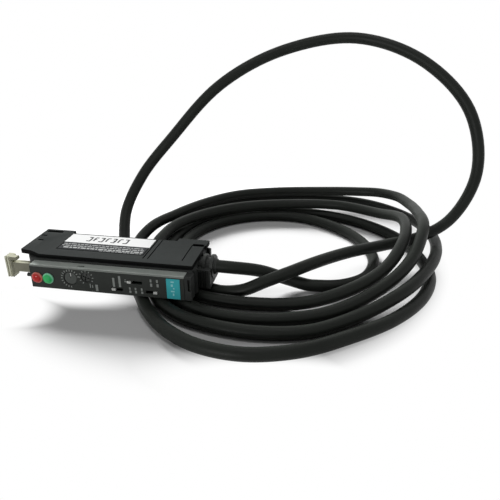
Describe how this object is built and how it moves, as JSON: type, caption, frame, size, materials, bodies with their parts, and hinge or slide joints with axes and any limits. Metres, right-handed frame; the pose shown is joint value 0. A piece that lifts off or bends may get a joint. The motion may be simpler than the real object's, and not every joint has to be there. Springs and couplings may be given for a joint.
{
  "type": "fibre optic sensor amplifier",
  "caption": "Slim rail-mount fibre optic sensor amplifier: flat housing, front row of lamps, dials and slide switches, pull-out fibre gripper, rail clip and a coiled lead.",
  "frame": {"origin": "middle of the rail seat, half way through the thickness", "axes": "+X along the length to the cable end, +Y out of the rail seat to the rail, +Z to the labelled side"},
  "size_m": [0.1703, 0.1459, 0.0839],
  "materials": {
    "housing_plastic": "fine moulded texture",
    "cover_plastic": "fine moulded texture",
    "panel_plastic": "satin, with pale printed marks",
    "label_print": "satin printed film, one pale and one dark band",
    "label_teal": "satin printed film",
    "lens_red": "translucent lens",
    "lens_green": "translucent lens",
    "dial_grey": "satin",
    "screw_grey": "satin",
    "slider_white": "satin",
    "part_black": "satin",
    "pot_blue": "satin",
    "board_green": "solder resist",
    "optic_red": "clear tinted case",
    "gripper_ivory": "moulded, fluted thumb pad",
    "clip_plastic": "satin",
    "relief_plastic": "satin",
    "cable_jacket": "semi-matte extruded jacket",
    "lead_brown": "extruded insulation",
    "lead_blue": "extruded insulation",
    "lead_black": "extruded insulation",
    "lead_white": "extruded insulation",
    "tinned_copper": "tinned strands"
  },
  "bodies": {
    "amplifier": {"housing": "housing_plastic", "side_cover": "cover_plastic", "front_panel": "panel_plastic", "rating_label": "label_print", "front_label": "label_teal", "red_indicator": "lens_red", "green_indicator": "lens_green", "timer_body": "pot_blue", "gain_body": "pot_blue", "light_dark_switch": "part_black", "delay_switch": "part_black", "range_switch": "part_black", "panel_board": "board_green", "main_board": "board_green", "fibre_block": "part_black", "emitter_led": "optic_red", "receiver_diode": "part_black", "strain_relief": "relief_plastic", "cable": "cable_jacket", "inner_leads": "lead_brown", "lead_brown": "lead_brown", "lead_blue": "lead_blue", "lead_black": "lead_black", "lead_white": "lead_white", "lead_tips": "tinned_copper"},
    "fibre_gripper": {"fibre_gripper": "gripper_ivory"},
    "timer_dial": {"timer_dial": "dial_grey"},
    "gain_screw": {"gain_screw": "screw_grey"},
    "light_dark_slider": {"light_dark_slider": "slider_white"},
    "delay_slider": {"delay_slider": "slider_white"},
    "range_slider": {"range_slider": "slider_white"},
    "rail_clip": {"rail_clip": "clip_plastic"}
  },
  "joints": [
    {"name": "gripper_slide", "type": "slide", "parent": "amplifier", "child": "fibre_gripper", "axis": [1, 0, 0], "range_m": [0, 0.0032]},
    {"name": "timer_turn", "type": "hinge", "parent": "amplifier", "child": "timer_dial", "pos_m": [-0.0106, -0.022, -0.0009], "axis": [0, 1, 0], "range_deg": [-135, 135]},
    {"name": "gain_turn", "type": "hinge", "parent": "amplifier", "child": "gain_screw", "pos_m": [-0.0048, -0.022, 0], "axis": [0, 1, 0], "continuous": true},
    {"name": "light_dark_slide", "type": "slide", "parent": "amplifier", "child": "light_dark_slider", "axis": [1, 0, 0], "range_m": [0, 0.0023]},
    {"name": "delay_slide", "type": "slide", "parent": "amplifier", "child": "delay_slider", "axis": [1, 0, 0], "range_m": [0, 0.0037]},
    {"name": "range_slide", "type": "slide", "parent": "amplifier", "child": "range_slider", "axis": [-1, 0, 0], "range_m": [0, 0.0025]},
    {"name": "clip_slide", "type": "slide", "parent": "amplifier", "child": "rail_clip", "axis": [1, 0, 0], "range_m": [0, 0.0022]}
  ]
}
